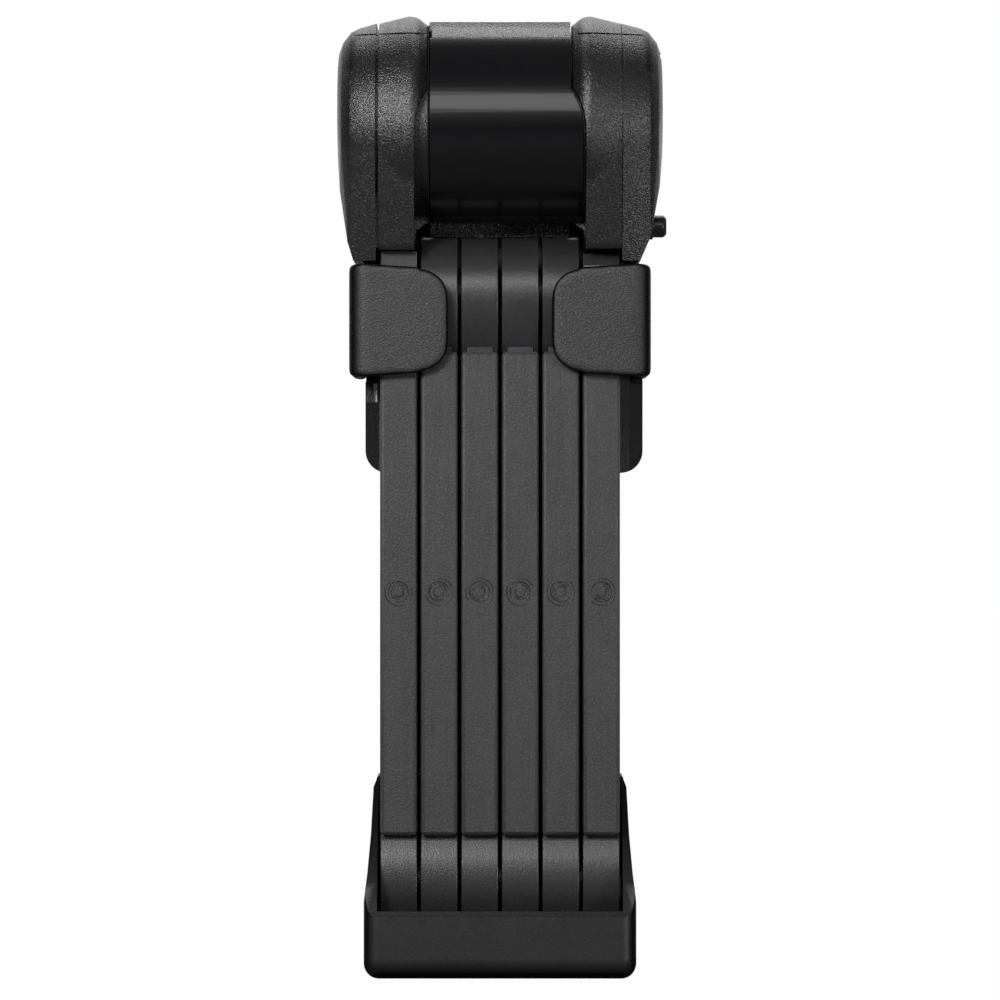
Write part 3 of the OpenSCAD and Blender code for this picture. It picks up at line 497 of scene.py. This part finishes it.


# thin dark disc in the running gap between the turning left ring and the casing: painted seam shadow, so the
# gap reads as shade instead of showing the white behind
seamShadowSet = {"inner": 0.0200, "outer": 0.0241, "from": -0.01733, "to": -0.01717, "axis": 0.2070, "steps": 96}
seamShadowCorners = ((seamShadowSet["from"], seamShadowSet["inner"]), (seamShadowSet["from"], seamShadowSet["outer"]),
               (seamShadowSet["to"], seamShadowSet["outer"]), (seamShadowSet["to"], seamShadowSet["inner"]))
bm = bmesh.new()
rings = []
for k in range(seamShadowSet["steps"]):
    turn = 2 * math.pi * k / seamShadowSet["steps"]
    rings.append([bm.verts.new((x, r * math.cos(turn), seamShadowSet["axis"] + r * math.sin(turn)))
                  for x, r in seamShadowCorners])
for k, ring in enumerate(rings):
    after = rings[(k + 1) % len(rings)]
    for i in range(4):
        bm.faces.new((ring[i], ring[(i + 1) % 4], after[(i + 1) % 4], after[i]))
bmesh.ops.recalc_face_normals(bm, faces=bm.faces)
rubberPiece("dustSeal", bm, "head")
print("stage: dust seal")


def endTree(tree, geometry, material, gout):
    real = tree.nodes.new("GeometryNodeRealizeInstances")
    paint = tree.nodes.new("GeometryNodeSetMaterial")
    paint.inputs["Material"].default_value = material
    tree.links.new(geometry, real.inputs["Geometry"])
    tree.links.new(real.outputs["Geometry"], paint.inputs["Geometry"])
    tree.links.new(paint.outputs["Geometry"], gout.inputs["Geometry"])


# ribbed rubber pad in the tray, ribs laid by a node tree
padSet = {"rows": 21, "ribWidth": 0.0014, "ribHeight": 0.0007, "margin": 0.0016}


def buildRibTree(material):
    tree = bpy.data.node_groups.new("padRibs", "GeometryNodeTree")
    for label, kind, value in (("Length", "NodeSocketFloat", 0.05), ("Depth", "NodeSocketFloat", 0.03),
                               ("Rows", "NodeSocketInt", 12), ("Rib Width", "NodeSocketFloat", 0.0015),
                               ("Rib Height", "NodeSocketFloat", 0.0008)):
        tree.interface.new_socket(label, in_out="INPUT", socket_type=kind).default_value = value
    tree.interface.new_socket("Geometry", in_out="OUTPUT", socket_type="NodeSocketGeometry")
    gin, gout = tree.nodes.new("NodeGroupInput"), tree.nodes.new("NodeGroupOutput")
    row = tree.nodes.new("GeometryNodeMeshLine")
    row.mode = "END_POINTS"
    half = mathNode(tree, "MULTIPLY", gin.outputs["Length"], 0.5)
    for sign, label in ((-1.0, "Start Location"), (1.0, "Offset")):
        at = tree.nodes.new("ShaderNodeCombineXYZ")
        tree.links.new(mathNode(tree, "MULTIPLY", half, sign), at.inputs["X"])
        tree.links.new(at.outputs[0], row.inputs[label])
    tree.links.new(gin.outputs["Rows"], row.inputs["Count"])
    bar = tree.nodes.new("GeometryNodeMeshCylinder")
    bar.inputs["Vertices"].default_value = 12
    bar.inputs["Radius"].default_value = 0.5
    bar.inputs["Depth"].default_value = 1.0
    onPoints = tree.nodes.new("GeometryNodeInstanceOnPoints")
    size = tree.nodes.new("ShaderNodeCombineXYZ")
    tree.links.new(gin.outputs["Rib Width"], size.inputs["X"])
    tree.links.new(mathNode(tree, "MULTIPLY", gin.outputs["Rib Height"], 2.0), size.inputs["Y"])
    tree.links.new(gin.outputs["Depth"], size.inputs["Z"])
    onPoints.inputs["Rotation"].default_value = (math.radians(90), 0, 0)
    tree.links.new(row.outputs["Mesh"], onPoints.inputs["Points"])
    tree.links.new(bar.outputs["Mesh"], onPoints.inputs["Instance"])
    tree.links.new(size.outputs[0], onPoints.inputs["Scale"])
    endTree(tree, onPoints.outputs["Instances"], material, gout)
    return tree


def treeMesh(name, tree, values):
    # runs a node tree on an empty mesh and keeps the result as a plain mesh
    host = bpy.data.objects.new(name + "Host", bpy.data.meshes.new(name + "Host"))
    scene.collection.objects.link(host)
    mod = host.modifiers.new("make", "NODES")
    mod.node_group = tree
    ids = {i.name: i.identifier for i in tree.interface.items_tree if i.in_out == "INPUT"}
    for label, v in values.items():
        mod[ids[label]] = v
    bpy.context.view_layer.update()
    mesh = bpy.data.meshes.new_from_object(host.evaluated_get(bpy.context.evaluated_depsgraph_get()))
    host.modifiers.remove(mod)
    bpy.data.objects.remove(host)
    mesh.name = name
    return mesh


# gate marks: where the sleeves were filled in the mould, a torn stub and flow rings, each turned another way
gateSet = {"outer": 0.0033, "spread": (1.0, 0.70, 0.54, 0.40), "wire": 0.00016, "stub": 0.0009,
           "height": 0.0930, "recess": 0.0026, "depth": 0.00035, "lift": 0.9, "turn": 1.7}


def buildGateTree(material, spread):
    tree = bpy.data.node_groups.new("gateMark", "GeometryNodeTree")
    for label, value in (("Outer", 0.003), ("Wire", 0.0001), ("Stub", 0.0006), ("Turn", 0.0)):
        tree.interface.new_socket(label, in_out="INPUT", socket_type="NodeSocketFloat").default_value = value
    tree.interface.new_socket("Geometry", in_out="OUTPUT", socket_type="NodeSocketGeometry")
    gin, gout = tree.nodes.new("NodeGroupInput"), tree.nodes.new("NodeGroupOutput")
    join = tree.nodes.new("GeometryNodeJoinGeometry")
    profile = tree.nodes.new("GeometryNodeCurvePrimitiveCircle")
    profile.inputs["Resolution"].default_value = 6
    tree.links.new(gin.outputs["Wire"], profile.inputs["Radius"])
    for i, share in enumerate(spread):
        arc = tree.nodes.new("GeometryNodeCurveArc")
        arc.inputs["Resolution"].default_value = 30
        arc.inputs["Sweep Angle"].default_value = 4.9 - 0.55 * i
        tree.links.new(mathNode(tree, "MULTIPLY", gin.outputs["Outer"], share), arc.inputs["Radius"])
        start = mathNode(tree, "MULTIPLY_ADD", gin.outputs["Turn"], 1.0 + 0.4 * i, 2.1 * i)
        tree.links.new(start, arc.inputs["Start Angle"])
        tube = tree.nodes.new("GeometryNodeCurveToMesh")
        tube.inputs["Fill Caps"].default_value = True
        tree.links.new(arc.outputs["Curve"], tube.inputs["Curve"])
        tree.links.new(profile.outputs["Curve"], tube.inputs["Profile Curve"])
        tree.links.new(tube.outputs["Mesh"], join.inputs["Geometry"])
    ball = tree.nodes.new("GeometryNodeMeshIcoSphere")
    ball.inputs["Subdivisions"].default_value = 3
    tree.links.new(gin.outputs["Stub"], ball.inputs["Radius"])
    torn = tree.nodes.new("GeometryNodeSetPosition")
    noise = tree.nodes.new("ShaderNodeTexNoise")
    noise.noise_dimensions = "4D"
    noise.inputs["Scale"].default_value = 1900.0
    tree.links.new(gin.outputs["Turn"], noise.inputs["W"])
    lump = tree.nodes.new("ShaderNodeVectorMath")
    lump.operation = "MULTIPLY_ADD"
    lump.inputs[1].default_value = (0.0016, 0.0016, 0.0009)
    lump.inputs[2].default_value = (-0.0008, -0.0008, -0.00045)
    tree.links.new(noise.outputs["Color"], lump.inputs[0])
    tree.links.new(ball.outputs["Mesh"], torn.inputs["Geometry"])
    tree.links.new(lump.outputs[0], torn.inputs["Offset"])
    flat = tree.nodes.new("GeometryNodeTransform")
    flat.inputs["Scale"].default_value = (1.0, 1.0, 0.22)
    tree.links.new(torn.outputs["Geometry"], flat.inputs["Geometry"])
    tree.links.new(flat.outputs["Geometry"], join.inputs["Geometry"])
    endTree(tree, join.outputs["Geometry"], material, gout)
    return tree


gateTree = buildGateTree(finish["cover_plastic"], gateSet["spread"])
for k in range(1, 7):
    mark = treeMesh("gateMark%d" % k, gateTree, {
        "Outer": gateSet["outer"], "Wire": gateSet["wire"], "Stub": gateSet["stub"],
        "Turn": gateSet["turn"] * k})
    lo, hi = (Vector(v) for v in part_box("bar_sleeve_%d" % k))
    for v in mark.vertices:  # from lying flat to standing on the sleeve's front edge
        deep = gateSet["depth"] if v.co.xy.length < gateSet["recess"] else 0.0
        v.co = Vector(((lo.x + hi.x) / 2 + v.co.x, lo.y + deep - gateSet["lift"] * v.co.z,
                       gateSet["height"] + v.co.y))
    piece = placeMesh(mark)
    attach(piece, bodyOf["bar_sleeve_%d" % k])
print("stage: gate marks on 6 sleeves")

padLo, padHi = (Vector(v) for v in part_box("tray_pad"))
padMesh = treeMesh("ribbedPad", buildRibTree(finish["pad_rubber"]), {
    "Length": padHi.x - padLo.x - 2 * padSet["margin"], "Depth": padHi.y - padLo.y - 2 * padSet["margin"],
    "Rows": padSet["rows"], "Rib Width": padSet["ribWidth"], "Rib Height": padSet["ribHeight"]})
bm = bmesh.new()
bm.from_mesh(padMesh)
for v in bm.verts:  # ribs lie across the pad, sunk so that their crowns are flush with the CAD top
    v.co += Vector(((padLo.x + padHi.x) / 2, (padLo.y + padHi.y) / 2, padHi.z - padSet["ribHeight"]))
slab = bmesh.ops.create_cube(bm, size=1.0)["verts"]
for v in slab:
    v.co = Vector((padLo.x + (v.co.x + 0.5) * (padHi.x - padLo.x),
                   padLo.y + (v.co.y + 0.5) * (padHi.y - padLo.y),
                   padLo.z + (v.co.z + 0.5) * (padHi.z - padSet["ribHeight"] - padLo.z)))
bm.to_mesh(padMesh)
bm.free()
standsFor(placeMesh(padMesh), "tray_pad")
print("stage: ribbed pad,", padSet["rows"], "ribs")


# white set: soft lamps, white behind the part and dim towards the camera, pale floor
lampSet = {
    "keyFront": {"at": (-0.10, -0.70, 0.49), "aim": (0, 0, 0.21), "size": (0.54, 0.26), "power": 1.45},
    "leftHigh": {"at": (-0.32, -0.66, 0.40), "aim": (0, 0, 0.20), "size": (0.14, 0.18), "power": 3.0},
    "rightLow": {"at": (0.52, -0.58, 0.13), "aim": (0, 0, 0.19), "size": (0.16, 0.24), "power": 1.3},
    "topBack": {"at": (0.0, 0.45, 0.85), "aim": (0, 0, 0.2), "size": (0.6, 0.3), "power": 2.0},
    "backFill": {"at": (0.0, 0.80, 0.34), "aim": (0, 0, 0.13), "size": (0.5, 0.4),
                 "power": 3.0, "sheen": False},
    "leftFill": {"at": (-0.85, 0.15, 0.40), "aim": (0, 0, 0.2), "size": (0.4, 0.6),
                 "power": 2.2, "sheen": False},
    "rightFill": {"at": (0.85, 0.15, 0.40), "aim": (0, 0, 0.2), "size": (0.4, 0.6),
                  "power": 2.2, "sheen": False},
}
for name, cfg in lampSet.items():
    data = bpy.data.lights.new(name, "AREA")
    data.shape = "RECTANGLE"
    data.size, data.size_y = cfg["size"]
    data.energy = cfg["power"]
    lamp = bpy.data.objects.new(name, data)
    lamp.location = cfg["at"]
    lamp.rotation_euler = (Vector(cfg["aim"]) - Vector(cfg["at"])).to_track_quat("-Z", "Y").to_euler()
    lamp.visible_camera = False
    lamp.visible_glossy = cfg.get("sheen", True)
    scene.collection.objects.link(lamp)

world = bpy.data.worlds.new("whiteSet")
scene.world = world
world.use_nodes = True
wt = world.node_tree
wt.nodes.clear()
wOut, wBack = wt.nodes.new("ShaderNodeOutputWorld"), wt.nodes.new("ShaderNodeBackground")
wDir, wSep = wt.nodes.new("ShaderNodeTexCoord"), wt.nodes.new("ShaderNodeSeparateXYZ")
wRay = wt.nodes.new("ShaderNodeLightPath")
wt.links.new(wDir.outputs["Generated"], wSep.inputs[0])
wBack.inputs["Color"].default_value = (1, 1, 1, 1)
around = rangeNode(wt, wSep.outputs["Y"], 0.55, 0.95, 0.10, 1.0)  # dim towards the camera, white behind
wt.links.new(mathNode(wt, "MAXIMUM", around, wRay.outputs["Is Camera Ray"]), wBack.inputs["Strength"])
wt.links.new(wBack.outputs[0], wOut.inputs["Surface"])

floorSet = {"reach": 4.0, "under": -0.0004, "paper": 0.12, "glowShare": 0.96, "glow": 1.04}
floorMesh = bpy.data.meshes.new("paleFloor")
floorMesh.from_pydata([(x * floorSet["reach"], y * floorSet["reach"], floorSet["under"])
                       for x, y in ((-1, -1), (1, -1), (1, 1), (-1, 1))], [], [(0, 1, 2, 3)])
placeMesh(floorMesh)
floorMat = bpy.data.materials.new("paleFloor")
floorMat.use_nodes = True
ft = floorMat.node_tree
ft.nodes.clear()
fOut, fMix = ft.nodes.new("ShaderNodeOutputMaterial"), ft.nodes.new("ShaderNodeMixShader")
fGlow, fPaper = ft.nodes.new("ShaderNodeEmission"), ft.nodes.new("ShaderNodeBsdfDiffuse")
fRay = ft.nodes.new("ShaderNodeLightPath")
fPaper.inputs["Color"].default_value = (floorSet["paper"],) * 3 + (1,)
ft.links.new(mathNode(ft, "MULTIPLY", fRay.outputs["Is Camera Ray"], floorSet["glowShare"]), fMix.inputs["Fac"])
fGlow.inputs["Strength"].default_value = floorSet["glow"]
ft.links.new(fPaper.outputs[0], fMix.inputs[1])
ft.links.new(fGlow.outputs[0], fMix.inputs[2])
ft.links.new(fMix.outputs[0], fOut.inputs["Surface"])
floorMesh.materials.append(floorMat)
print("stage: lamps", len(lampSet), "and white set")
